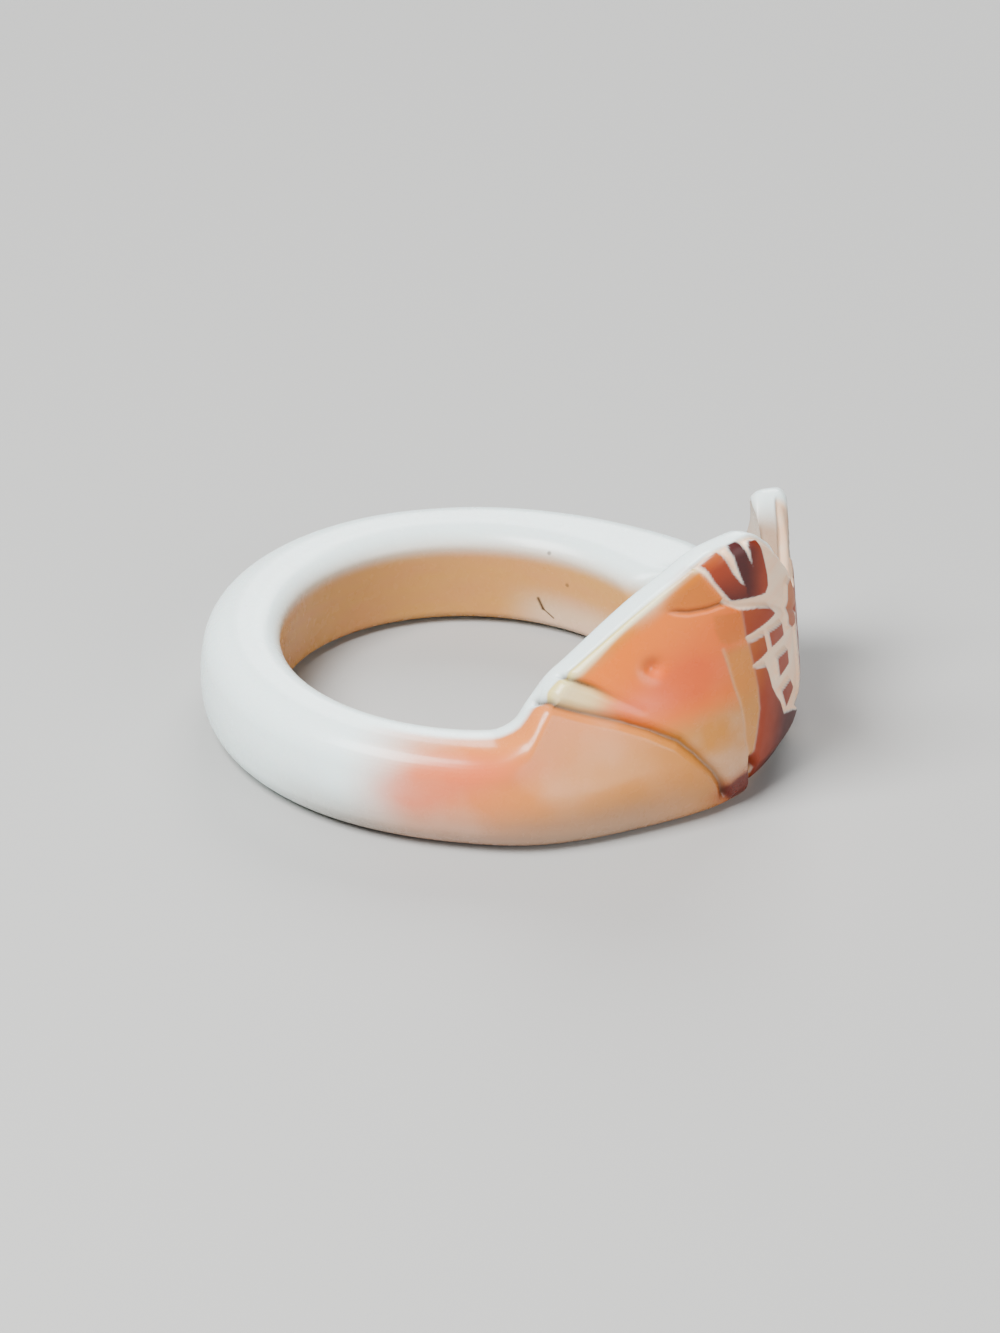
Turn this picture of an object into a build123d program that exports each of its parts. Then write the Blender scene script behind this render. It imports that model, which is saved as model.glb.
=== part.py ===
"""Finger ring carved from one piece of sea shell, with a fish on its front.

The ring lies on its side. The origin is the centre of the finger hole, halfway up the band, +Z runs
along the finger hole and +X points at the middle of the carved fish. All lengths are millimetres.
"""

import os
from collections import namedtuple
from math import cos, radians, sin, sqrt, tan

from build123d import *

# Driving sizes of the band
BORE_RADIUS = 8.75
BAND_WALL = 3.6
BAND_HEIGHT = 4.8
BAND_LEAN = 0.35
INNER_ROUND = 1.3
OUTER_ROUND = 1.53
BORE_ALLOWANCE = 0.25

# Driving sizes of the carved front
FRONT_WALL = 6.2
FIN_RISE = 8.4
PLATE_EDGE = 1.5
EDGE_ROUND = 0.68
KEEL_ROUND = 1.05
BELLY_REACH = 0.9
FLARE_REACH = 1.0

# Driving sizes of the cuts: the radius of each round cutter and how deep it goes
CUT_RADIUS, CUT_DEPTH = 0.34, 0.24
GILL_RADIUS, GILL_DEPTH = 0.30, 0.18
SCALE_RADIUS, SCALE_DEPTH = 0.22, 0.15
RAY_RADIUS, RAY_DEPTH = 0.20, 0.13
EYE_RADIUS, EYE_DEPTH = 0.50, 0.20
HOLLOW_RADIUS, HOLLOW_DROP, HOLLOW_BITE = 3.4, 2.5, 0.5
NOTCH_RADIUS, NOTCH_DEPTH = 0.60, 0.38

# How finely the front is sliced, in degrees round the finger
SLICE_ANGLE = 3.0

HALF_BAND = BAND_HEIGHT / 2
BAND_RADIUS = BORE_RADIUS + BAND_WALL
FRONT_RADIUS = BORE_RADIUS + FRONT_WALL

# The front from the head's side of the band to the tail's side. azimuth is in degrees from +X.
# belly is the outer radius as a share of the way from the band to the front, crest the height of
# the top edge above the band as a share of FIN_RISE, lean how far the top edge's inner side
# stands out from the finger hole as a share of FRONT_WALL, and edge how far the top has thinned
# from the band's (0) to the carved plate's (1).
Station = namedtuple("Station", "azimuth belly crest lean edge")
STATIONS = [
    Station(-112, 0.00, 0.00, 0.00, 0.00),
    Station(-100, 0.02, 0.00, 0.00, 0.00),
    Station(-92, 0.06, 0.00, 0.00, 0.00),
    Station(-85, 0.12, 0.00, 0.00, 0.00),
    Station(-79, 0.16, 0.04, 0.00, 0.15),
    Station(-74, 0.17, 0.17, 0.00, 0.60),
    Station(-69, 0.17, 0.29, 0.00, 0.90),
    Station(-63, 0.19, 0.38, 0.01, 1.00),
    Station(-56, 0.24, 0.50, 0.05, 1.00),
    Station(-48, 0.36, 0.66, 0.15, 1.00),
    Station(-40, 0.54, 0.83, 0.31, 1.00),
    Station(-34, 0.68, 0.96, 0.46, 1.00),
    Station(-28, 0.77, 1.00, 0.59, 1.00),
    Station(-22, 0.84, 0.89, 0.65, 1.00),
    Station(-16, 0.89, 0.74, 0.65, 1.00),
    Station(-10, 0.93, 0.58, 0.66, 1.00),
    Station(-4, 0.94, 0.34, 0.65, 1.00),
    Station(2, 0.94, 0.23, 0.66, 1.00),
    Station(7, 0.96, 0.33, 0.66, 1.00),
    Station(12, 1.05, 0.52, 0.66, 1.00),
    Station(17, 1.10, 0.61, 0.69, 1.00),
    Station(21, 1.08, 0.55, 0.75, 1.00),
    Station(24, 1.02, 0.28, 0.80, 1.00),
    Station(27, 0.95, 0.08, 0.62, 0.80),
    Station(31, 0.87, 0.02, 0.32, 0.45),
    Station(37, 0.73, 0.00, 0.06, 0.12),
    Station(44, 0.57, 0.00, 0.00, 0.00),
    Station(52, 0.41, 0.00, 0.00, 0.00),
    Station(62, 0.26, 0.00, 0.00, 0.00),
    Station(74, 0.13, 0.00, 0.00, 0.00),
    Station(88, 0.05, 0.00, 0.00, 0.00),
    Station(104, 0.00, 0.00, 0.00, 0.00),
]

# Cuts on the outer face as (azimuth, height) points: azimuth in degrees from +X, height a share
# of the whole height from the band's foot to the fin's tip
MOUTH = [(-68.5, 0.570), (-65, 0.564), (-60.8, 0.543), (-57.4, 0.511), (-54.2, 0.481), (-51.2, 0.453)]
JAW = [(-72.5, 0.480), (-69, 0.484), (-65, 0.461), (-58.4, 0.427), (-53.3, 0.390), (-48.8, 0.349),
       (-44.6, 0.300), (-41.1, 0.228), (-38.3, 0.163), (-35.5, 0.110)]
GILL_ARC = [(-35.8, 0.636), (-33.4, 0.496), (-31.5, 0.371), (-30.1, 0.248), (-29, 0.142)]
GILL_EDGE = [(-30.3, 0.700), (-29.5, 0.620), (-28.1, 0.498), (-26.8, 0.413), (-26.5, 0.327),
             (-27.3, 0.250), (-27.7, 0.180), (-27.3, 0.110), (-26.6, 0.050), (-26.4, 0.000)]
GILL_NOTCH = (-26.6, 0.045)
FIN_FOOT = [(-44, 0.773), (-38.8, 0.765), (-34.8, 0.775), (-31.4, 0.762), (-27, 0.725),
            (-22, 0.682), (-16.8, 0.619), (-11, 0.553), (-5, 0.490)]
FIN_RAYS = [
    [(-34.2, 0.800), (-37.8, 0.925)],
    [(-31.2, 0.790), (-33.4, 0.955)],
    [(-28.3, 0.860), (-29.7, 0.965)],
    [(-24.4, 0.775), (-26.2, 0.930)],
    [(-15.4, 0.650), (-15.2, 0.740)],
]
TAIL_RAYS = [
    [(4, 0.420), (11, 0.600)],
    [(6, 0.400), (16, 0.650)],
    [(8, 0.370), (21, 0.540)],
    [(8, 0.330), (22, 0.390)],
    [(8, 0.290), (21, 0.230)],
    [(6, 0.250), (16, 0.080)],
]
TAIL_EDGE = [(25, 0.300), (25, 0.200), (25, 0.100), (25, 0.050), (25, 0.000)]
EYE = (-47.3, 0.606)
TAIL_TIP = 18

# The scales: rows run back from the gill, sloping down a little, and cross steeper columns. The
# patch between the gill and the columns' feet stays uncut.
SCALE_ROWS = [
    [(-29, 0.617), (-2, 0.505)],
    [(-28, 0.512), (-2, 0.400)],
    [(-23.5, 0.384), (-2, 0.295)],
    [(-17.5, 0.250), (-2, 0.190)],
]
SCALE_COLUMNS = [
    [(-25.5, 0.610), (-17, 0.260)],
    [(-19.6, 0.660), (-9.5, 0.190)],
    [(-12.4, 0.560), (-3.5, 0.190)],
]


def between(low, high, share):
    """The value a share of the way from low to high."""
    return low + (high - low) * share


def slope_at(index, column):
    """A column's slope at a station: level at a peak or dip, so that no curve overshoots."""
    if index in (0, len(STATIONS) - 1):
        return 0
    before, here, after = STATIONS[index - 1:index + 2]
    back = (here[column] - before[column]) / (here.azimuth - before.azimuth)
    ahead = (after[column] - here[column]) / (after.azimuth - here.azimuth)
    if back * ahead <= 0:
        return 0
    return 2 * back * ahead / (back + ahead)


def station_at(azimuth):
    """The station at any azimuth, on a smooth curve through the listed ones."""
    index = max(i for i, row in enumerate(STATIONS[:-1]) if row.azimuth <= azimuth)
    low, high = STATIONS[index], STATIONS[index + 1]
    span = high.azimuth - low.azimuth
    t = (azimuth - low.azimuth) / span
    values = [
        low[column] * (1 + 2 * t) * (1 - t) ** 2
        + high[column] * (3 - 2 * t) * t ** 2
        + slope_at(index, column) * span * t * (1 - t) ** 2
        - slope_at(index + 1, column) * span * t ** 2 * (1 - t)
        for column in range(1, len(Station._fields))
    ]
    return Station(azimuth, *values)


def radial_plane(azimuth):
    """The plane through the finger hole's axis, with x running outwards and y up."""
    out = (cos(radians(azimuth)), sin(radians(azimuth)), 0)
    return Plane(origin=(0, 0, 0), x_dir=out, z_dir=(out[1], -out[0], 0))


def reach_radius(before, corner, after, reach):
    """The radius of the arc that rounds a corner and starts and ends this far from it."""
    turn = (Vector(corner) - Vector(before)).get_angle(Vector(after) - Vector(corner))
    return reach / tan(radians(turn / 2))


def section(station):
    """One radial section of the ring: a six-cornered outline with every corner rounded."""
    wall = BORE_RADIUS - BORE_ALLOWANCE
    belly = between(BAND_RADIUS, FRONT_RADIUS, station.belly)
    crest = HALF_BAND + FIN_RISE * station.crest
    top_in = BORE_RADIUS + FRONT_WALL * station.lean
    top_out = between(belly - BAND_LEAN, top_in + PLATE_EDGE, station.edge)
    heel = (wall, -HALF_BAND)
    keel = (belly - BAND_LEAN, -HALF_BAND)
    side = (belly, 0)
    outer_edge = (top_out, crest)
    inner_edge = (top_in, crest)
    flare = (wall, 0)
    corners = {
        heel: INNER_ROUND,
        keel: between(OUTER_ROUND, KEEL_ROUND, station.edge),
        side: reach_radius(keel, side, outer_edge, BELLY_REACH),
        outer_edge: between(OUTER_ROUND, EDGE_ROUND, station.edge),
        inner_edge: between(INNER_ROUND, EDGE_ROUND, station.edge),
        flare: reach_radius(inner_edge, flare, heel, FLARE_REACH),
    }
    with BuildSketch(radial_plane(station.azimuth)) as outline:
        with BuildLine():
            FilletPolyline(*corners, radius=list(corners.values()), close=True)
        make_face()
    return outline.sketch


def face_point(azimuth, height, proud=0.0):
    """A point on the carved outer face, or standing proud of it."""
    row = station_at(azimuth)
    z = between(-HALF_BAND, HALF_BAND + FIN_RISE, height)
    belly = between(BAND_RADIUS, FRONT_RADIUS, row.belly)
    crest = HALF_BAND + FIN_RISE * row.crest
    plate = BORE_RADIUS + FRONT_WALL * row.lean + PLATE_EDGE
    if z > 0:
        radius = between(belly, between(belly - BAND_LEAN, plate, row.edge), z / crest)
    else:
        radius = between(belly, belly - BAND_LEAN, -z / HALF_BAND)
    into_keel = max(0, KEEL_ROUND - HALF_BAND - z)
    radius -= KEEL_ROUND - sqrt(KEEL_ROUND ** 2 - into_keel ** 2)
    return radial_plane(azimuth).from_local_coords(Vector(radius + proud, z))


def tail_hollow():
    """The centre of the round burr that thins the tail from behind, below its tip."""
    row = station_at(TAIL_TIP)
    out = BORE_RADIUS + FRONT_WALL * row.lean + HOLLOW_BITE - HOLLOW_RADIUS
    up = HALF_BAND + FIN_RISE * row.crest - HOLLOW_DROP
    return radial_plane(TAIL_TIP).from_local_coords(Vector(out, up))


def groove(points, radius, depth):
    """A round cutter swept along points on the face."""
    with BuildPart() as cutter:
        with BuildLine() as path:
            Spline(*[face_point(*point, proud=radius - depth) for point in points])
        with BuildSketch(Plane(path.line @ 0, z_dir=path.line % 0)):
            Circle(radius)
        sweep()
    return cutter.part


def straight(start, end, count=4):
    """Evenly spaced face points from start to end, both included."""
    return [
        (between(start[0], end[0], i / (count - 1)), between(start[1], end[1], i / (count - 1)))
        for i in range(count)
    ]


front_start = STATIONS[0].azimuth
front_end = STATIONS[-1].azimuth
slices = round((front_end - front_start) / SLICE_ANGLE)
slice_azimuths = [between(front_start, front_end, i / slices) for i in range(slices + 1)]

cuts = [
    [groove(line, CUT_RADIUS, CUT_DEPTH) for line in (MOUTH, JAW, GILL_EDGE, TAIL_EDGE)],
    [groove(line, GILL_RADIUS, GILL_DEPTH) for line in (GILL_ARC, FIN_FOOT)],
    [groove(straight(*ends), SCALE_RADIUS, SCALE_DEPTH) for ends in SCALE_ROWS],
    [groove(straight(*ends), SCALE_RADIUS, SCALE_DEPTH) for ends in SCALE_COLUMNS],
    [groove(straight(*ends), RAY_RADIUS, RAY_DEPTH) for ends in FIN_RAYS],
    [groove(straight(*ends), RAY_RADIUS, RAY_DEPTH) for ends in TAIL_RAYS],
]

with BuildPart() as shell_ring:
    # The carved front, from the head's side to the tail's side
    loft([section(station_at(azimuth)) for azimuth in slice_azimuths], ruled=True)
    # The plain band behind it, turned round the finger
    revolve(section(STATIONS[-1]), axis=Axis.Z, revolution_arc=360 - front_end + front_start)
    # The finger hole, cut with a drill that reaches past both ends
    Cylinder(BORE_RADIUS, 2 * (HALF_BAND + FIN_RISE), mode=Mode.SUBTRACT)
    # The dished back of the tail
    with Locations(tail_hollow()):
        Sphere(HOLLOW_RADIUS, mode=Mode.SUBTRACT)
    # The eye, a shallow round dimple
    with Locations(face_point(*EYE, proud=EYE_RADIUS - EYE_DEPTH)):
        Sphere(EYE_RADIUS, mode=Mode.SUBTRACT)
    # The nick where the gill meets the lower edge
    with Locations(face_point(*GILL_NOTCH, proud=NOTCH_RADIUS - NOTCH_DEPTH)):
        Sphere(NOTCH_RADIUS, mode=Mode.SUBTRACT)
    # The carved lines
    for group in cuts:
        add(group, mode=Mode.SUBTRACT)

shell_ring.part.label = "shell_ring"

os.makedirs("parts", exist_ok=True)
export_step(shell_ring.part, "parts/shell_ring.step")
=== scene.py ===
"""Looks of the carved shell ring: the ring itself, its shell material and a plain studio.

The ring lies on its side. The origin is the centre of the finger hole, +Z runs along the hole and
+X points out through the middle of the carved fish, whose head is on the -Y side.
"""

import math

import bmesh
import bpy
import numpy as np
from mathutils import Matrix, Vector


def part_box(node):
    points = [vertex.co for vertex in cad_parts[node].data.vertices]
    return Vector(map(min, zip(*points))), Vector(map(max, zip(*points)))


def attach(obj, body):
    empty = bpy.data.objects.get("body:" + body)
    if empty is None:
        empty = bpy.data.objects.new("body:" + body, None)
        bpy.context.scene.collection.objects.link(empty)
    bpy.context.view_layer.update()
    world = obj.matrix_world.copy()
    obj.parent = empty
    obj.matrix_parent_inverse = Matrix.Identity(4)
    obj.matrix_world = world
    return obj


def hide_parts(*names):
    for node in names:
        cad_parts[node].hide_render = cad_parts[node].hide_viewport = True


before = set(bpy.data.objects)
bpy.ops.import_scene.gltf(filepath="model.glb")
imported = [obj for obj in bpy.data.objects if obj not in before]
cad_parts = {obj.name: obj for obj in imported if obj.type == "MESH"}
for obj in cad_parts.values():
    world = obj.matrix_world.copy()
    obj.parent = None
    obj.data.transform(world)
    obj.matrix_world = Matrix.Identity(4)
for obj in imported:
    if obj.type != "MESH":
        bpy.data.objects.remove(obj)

bl_info = {
    "name": "Carved shell ring",
    "version": (1, 0, 0),
    "blender": (4, 5, 0),
    "location": "View3D > Sidebar > Shell Ring",
    "description": "Builds a finger ring carved from shell, with a fish on its front",
    "category": "Object",
}

MM = 0.001
IMAGE_SIZE = (1000, 1333)


# Settings

def length(name, description, default):
    """A length property in metres, given in millimetres."""
    return bpy.props.FloatProperty(
        name=name, description=description, default=default * MM,
        unit="LENGTH", subtype="DISTANCE", precision=5,
    )


def colour(name, description, default):
    """A colour property, given as linear red, green and blue."""
    return bpy.props.FloatVectorProperty(
        name=name, description=description, default=default, subtype="COLOR", size=3, min=0, max=1
    )


class ShellRingSizes(bpy.types.PropertyGroup):
    """Sizes of the ring that a user would change."""

    bore_radius: length("Finger Hole", "Radius of the finger hole", 8.75)
    band_wall: length("Band Wall", "Thickness of the plain band", 3.6)
    band_height: length("Band Height", "Height of the plain band", 4.8)
    band_lean: length("Band Lean", "How far the outer face leans in above and below its middle", 0.35)
    inner_round: length("Inner Round", "Rounding of the band's inner edges", 1.3)
    outer_round: length("Outer Round", "Rounding of the band's outer edges", 1.53)
    front_wall: length("Front Wall", "Thickness of the carved front", 6.2)
    fin_rise: length("Fin Rise", "Height of the fin above the band", 8.4)
    plate_edge: length("Plate Edge", "Thickness of the fin's and tail's top edge", 1.5)
    edge_round: length("Edge Round", "Rounding of the fin's and tail's top edge", 0.68)
    keel_round: length("Keel Round", "Rounding of the front's lower edge", 1.05)
    hollow_radius: length("Hollow Radius", "Radius of the hollow behind the tail", 3.4)
    hollow_drop: length("Hollow Drop", "How far the hollow's middle lies below the tail's tip", 2.5)
    hollow_bite: length("Hollow Bite", "How far the hollow cuts into the tail's inner edge", 0.5)


class ShellRingColours(bpy.types.PropertyGroup):
    """Colours of the shell's layers."""

    pearl: colour("Pearl", "The cool white of the band and the rims", (0.80, 0.95, 0.94))
    cream: colour("Cream", "The strip under the rim of the head", (0.72, 0.58, 0.15))
    blush: colour("Blush", "The pale cuts between the scales", (0.88, 0.52, 0.31))
    # Partly a grey-pink tint and partly painted shade, on the tail's face below its top
    stone: colour("Stone", "The greyish back of the tail", (0.36, 0.23, 0.15))
    peach: colour("Peach", "The near side of the band", (0.66, 0.20, 0.045))
    # Also the colour of two painted highlights on the head, in the eye and by the gill arc
    salmon_and_highlights: colour("Salmon", "The pink patches of the band and the mouth", (0.70, 0.13, 0.048))
    tan: colour("Tan", "The lower part of the head and the band's front", (0.50, 0.19, 0.025))
    amber: colour("Amber", "The wall of the finger hole", (0.50, 0.21, 0.014))
    # Partly a mauve tint and partly painted shade, darker towards the keel
    mauve_and_shade: colour("Mauve", "The band's lower edge", (0.30, 0.22, 0.16))
    orange: colour("Orange", "The polished head", (0.70, 0.15, 0.008))
    ember: colour("Ember", "The reddest part of the head", (0.62, 0.075, 0.007))
    ochre: colour("Ochre", "The lightest of the brown skin", (0.42, 0.110, 0.006))
    bark: colour("Bark", "The brown skin left on scales and fin", (0.24, 0.024, 0.001))
    oxblood: colour("Oxblood", "The darkest of the brown skin", (0.045, 0.001, 0.001))
    # Painted shade for the deep cuts, and the dark of the crack and the specks
    grime: colour("Grime", "What has settled in the deep cuts", (0.060, 0.028, 0.007))
    haze: colour("Haze", "The greyer clouds in the white", (0.76, 0.78, 0.78))
    sand: colour("Sand", "The paler layers in the cuts", (0.84, 0.62, 0.44))
    # Painted shade for the fine crease along the head's rim
    shade: colour("Shade", "The fine crease along the head's rim", (0.30, 0.27, 0.20))


# The carved front

STATIONS = np.array([
    # azimuth in degrees; belly, crest, lean and edge as shares from the plain band's to the front's
    (-112, 0.00, 0.00, 0.00, 0.00),
    (-100, 0.02, 0.00, 0.00, 0.00),
    (-92, 0.06, 0.00, 0.00, 0.00),
    (-85, 0.12, 0.00, 0.00, 0.08),
    (-79, 0.16, 0.04, 0.00, 0.28),
    (-74, 0.17, 0.17, 0.00, 0.58),
    (-69, 0.17, 0.29, 0.00, 0.84),
    (-63, 0.19, 0.38, 0.01, 0.97),
    (-56, 0.24, 0.50, 0.05, 1.00),
    (-48, 0.36, 0.66, 0.15, 1.00),
    (-40, 0.54, 0.83, 0.31, 1.00),
    (-34, 0.68, 0.96, 0.46, 1.00),
    (-28, 0.77, 1.00, 0.59, 1.00),
    (-22, 0.84, 0.89, 0.65, 1.00),
    (-16, 0.89, 0.74, 0.65, 1.00),
    (-10, 0.93, 0.58, 0.66, 1.00),
    (-4, 0.94, 0.34, 0.65, 1.00),
    (2, 0.94, 0.23, 0.66, 1.00),
    (7, 0.96, 0.33, 0.66, 1.00),
    (12, 1.05, 0.52, 0.66, 1.00),
    (17, 1.10, 0.61, 0.69, 1.00),
    (21, 1.08, 0.55, 0.75, 1.00),
    (24, 1.02, 0.28, 0.80, 1.00),
    (27, 0.95, 0.08, 0.62, 0.80),
    (31, 0.87, 0.02, 0.32, 0.45),
    (37, 0.73, 0.00, 0.06, 0.12),
    (44, 0.57, 0.00, 0.00, 0.00),
    (52, 0.41, 0.00, 0.00, 0.00),
    (62, 0.26, 0.00, 0.00, 0.00),
    (74, 0.13, 0.00, 0.00, 0.00),
    (88, 0.05, 0.00, 0.00, 0.00),
    (104, 0.00, 0.00, 0.00, 0.00),
])
# The grid: runs of columns as first and last azimuth and count, and rows outside and inside the rim
COLUMN_RUNS = [(-112, -78, 20), (-78, -46, 78), (-46, 4, 168), (4, 32, 72), (32, 248, 116)]
OUTER_ROWS, INNER_ROWS = 160, 52
SPIN_RADIUS = 3
MERGE_GAP = 1e-4

# Points on the wide and narrow arcs of a section, and how far two of them reach from their corners
WIDE_STEPS, NARROW_STEPS = 12, 8
SIDE_REACH, FLARE_REACH = 0.9 * MM, 1.0 * MM
# The wall starts this far inside the finger hole and is then held to the hole's radius
WALL_SINK = 0.25 * MM


def between(low, high, share):
    """The value a share of the way from low to high."""
    return low + (high - low) * share


def smooth_step(low, high, value):
    """0 below low, 1 above high and an easy curve between."""
    t = np.clip((value - low) / (high - low), 0, 1)
    return t * t * (3 - 2 * t)


def stations_at(azimuths):
    """The table's shares at any azimuths, on curves that never overshoot."""
    x, y = STATIONS[:, 0], STATIONS[:, 1:]
    rise = np.diff(y, axis=0) / np.diff(x)[:, None]
    slope = np.zeros_like(y)
    back, ahead = rise[:-1], rise[1:]
    even = back * ahead > 0
    total = np.where(even, back + ahead, 1)
    slope[1:-1] = np.where(even, 2 * back * ahead / total, 0)
    at = np.clip(np.where(azimuths > 180, azimuths - 360, azimuths), x[0], x[-1])
    i = np.clip(np.searchsorted(x, at, side="right") - 1, 0, len(x) - 2)
    span = (x[i + 1] - x[i])[:, None]
    t = ((at - x[i]) / (x[i + 1] - x[i]))[:, None]
    return (
        y[i] * (1 + 2 * t) * (1 - t) ** 2
        + y[i + 1] * (3 - 2 * t) * t ** 2
        + slope[i] * span * t * (1 - t) ** 2
        - slope[i + 1] * span * t ** 2 * (1 - t)
    )


def rounded(before, corner, after, radius, steps):
    """Arcs of the given radii at one corner of many sections, steps points each."""
    back = before - corner
    ahead = after - corner
    back /= np.linalg.norm(back, axis=1)[:, None]
    ahead /= np.linalg.norm(ahead, axis=1)[:, None]
    half = np.arccos(np.clip((back * ahead).sum(1), -1, 1)) / 2
    middle = back + ahead
    middle /= np.linalg.norm(middle, axis=1)[:, None]
    centre = corner + middle * (radius / np.sin(half))[:, None]
    start = corner + back * (radius / np.tan(half))[:, None] - centre
    end = corner + ahead * (radius / np.tan(half))[:, None] - centre
    first = np.arctan2(start[:, 1], start[:, 0])
    turn = (np.arctan2(end[:, 1], end[:, 0]) - first + math.pi) % math.tau - math.pi
    angle = first[:, None] + turn[:, None] * np.linspace(0, 1, steps)
    return centre[:, None] + radius[:, None, None] * np.stack([np.cos(angle), np.sin(angle)], -1)


def reach_radius(before, corner, after, reach):
    """Radii of arcs that start and end a given distance from a corner."""
    back = corner - before
    ahead = after - corner
    back /= np.linalg.norm(back, axis=1)[:, None]
    ahead /= np.linalg.norm(ahead, axis=1)[:, None]
    turn = np.arccos(np.clip((back * ahead).sum(1), -1, 1))
    return reach / np.tan(turn / 2)


def resample(lines, count):
    """Each line's points spaced evenly along it, count points from its start to its end."""
    step = np.linalg.norm(np.diff(lines, axis=1), axis=2)
    along = np.concatenate([np.zeros((len(lines), 1)), np.cumsum(step, axis=1)], axis=1)
    along /= along[:, -1:]
    want = np.linspace(0, 1, count)
    return np.stack([
        np.stack([np.interp(want, at, line[:, k]) for k in range(2)], -1)
        for at, line in zip(along, lines)
    ])


def sections(sizes, azimuths):
    """Closed radial outlines at the azimuths: (radius, height) pairs, outer face and rim first."""
    belly_share, crest_share, lean, edge = stations_at(azimuths).T
    flat = np.ones_like(azimuths)
    half = sizes.band_height / 2
    wall = (sizes.bore_radius - WALL_SINK) * flat
    belly = sizes.bore_radius + between(sizes.band_wall, sizes.front_wall, belly_share)
    crest = half + sizes.fin_rise * crest_share
    top_in = sizes.bore_radius + sizes.front_wall * lean
    top_out = between(belly - sizes.band_lean, top_in + sizes.plate_edge, edge)

    def point(radius, height):
        return np.stack([radius * flat, height * flat], 1)

    heel, keel = point(wall, -half), point(belly - sizes.band_lean, -half)
    side, outer = point(belly, 0), point(top_out, crest)
    inner, flare = point(top_in, crest), point(wall, 0)
    keel_round = between(sizes.outer_round, sizes.keel_round, edge)
    rim_round = between(sizes.outer_round, sizes.edge_round, edge ** 3)
    lip_round = between(sizes.inner_round, sizes.edge_round, edge)
    arcs = [
        rounded(heel, keel, side, keel_round, WIDE_STEPS),
        rounded(keel, side, outer, reach_radius(keel, side, outer, SIDE_REACH), WIDE_STEPS),
        rounded(side, outer, inner, rim_round, WIDE_STEPS),
        rounded(outer, inner, flare, lip_round, WIDE_STEPS),
        rounded(inner, flare, heel, reach_radius(inner, flare, heel, FLARE_REACH), NARROW_STEPS),
        rounded(flare, heel, keel, sizes.inner_round * flat, NARROW_STEPS),
    ]
    face = resample(np.concatenate([*arcs[:3], arcs[3][:, :1]], 1), OUTER_ROWS)
    back = resample(np.concatenate([*arcs[3:], arcs[0][:, :1]], 1), INNER_ROWS + 2)
    outline = np.concatenate([face, back[:, 1:-1]], 1)
    outline[..., 0] = np.maximum(outline[..., 0], sizes.bore_radius)
    return outline


def column_azimuths():
    """Azimuths of the grid's columns in degrees: close together on the carved front."""
    return np.concatenate([np.linspace(*run, endpoint=False) for run in COLUMN_RUNS])


def spun_grid(columns, rows):
    """A closed grid with its column and row numbers, spun from a circle round the finger hole."""
    mesh = bmesh.new()
    stand = Matrix.Translation((SPIN_RADIUS, 0, 0)) @ Matrix.Rotation(math.pi / 2, 4, "X")
    loop = bmesh.ops.create_circle(mesh, segments=rows, radius=1, matrix=stand)["verts"]
    bmesh.ops.spin(
        mesh, geom=loop + mesh.edges[:], cent=(0, 0, 0), axis=(0, 0, 1), angle=math.tau,
        steps=columns, use_merge=True,
    )
    bmesh.ops.remove_doubles(mesh, verts=mesh.verts[:], dist=MERGE_GAP)
    mesh.verts.ensure_lookup_table()
    x, y, z = np.array([v.co[:] for v in mesh.verts]).T
    round_hole = np.arctan2(y, x)
    round_section = np.arctan2(z, np.hypot(x, y) - SPIN_RADIUS)
    column = np.round(round_hole / math.tau * columns).astype(int) % columns
    row = np.round(round_section / math.tau * rows).astype(int) % rows
    return mesh, column, row


# Carved lines and the raised patches between them, as (azimuth, climb) points: azimuth in degrees
# from +X, climb in millimetres up the face from halfway up the band.
MOUTH = [
    (-67.2, 5.95), (-66.0, 5.63), (-63.5, 5.31), (-60.8, 5.03), (-58.2, 4.66), (-55.5, 4.28),
    (-51.5, 3.67),
]
JAW = [
    (-74.4, 6.30), (-73.8, 5.30), (-70.2, 4.48), (-66.2, 4.15), (-60.5, 3.68), (-56.2, 3.31),
    (-50.5, 2.68), (-45.0, 1.87), (-41.8, 1.04), (-40.0, 0.48), (-38.0, -0.12), (-36.8, -0.57),
    (-35.8, -0.95), (-34.8, -1.60),
]
GILL_ARC = [
    (-35.0, 5.80), (-34.2, 5.07), (-33.0, 3.82), (-31.8, 2.97), (-30.9, 1.90), (-30.7, 0.96),
    (-29.5, -0.07), (-28.6, -0.60),
]
GILL_FOOT = [(-28.8, 0.20), (-28.3, -0.40), (-27.3, -1.10), (-26.6, -1.80), (-26.2, -2.80)]
FIN_CREASE = [(-44.5, 8.06), (-43.0, 8.00), (-40.5, 7.88), (-37.5, 7.90), (-34.8, 8.02)]
FIN_FOOT = [
    (-34.4, 7.93), (-29.2, 7.68), (-25.2, 7.30), (-22.0, 6.85), (-17.5, 6.15), (-12.0, 5.30),
    (-5.0, 4.40),
]
THROAT = [(-60.0, 2.60), (-47.0, 2.90), (-42.0, 3.10), (-37.0, 3.40), (-31.0, 3.40)]
SKIN_EDGE = [
    # the brown skin's left edge, from the keel up to the fin's rim
    (-25.0, -2.60), (-25.4, -1.70), (-26.2, -1.10), (-27.9, -0.60), (-28.0, -0.20), (-27.8, 0.32),
    (-27.0, 1.21), (-26.4, 2.08), (-27.0, 3.24), (-28.1, 4.26), (-28.4, 4.60), (-29.7, 5.80),
    (-30.3, 6.10), (-31.1, 7.45), (-33.5, 7.84), (-34.8, 8.00), (-34.3, 8.25), (-35.8, 8.90),
    (-37.5, 9.70), (-38.3, 10.20), (-38.8, 10.90),
]
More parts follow.
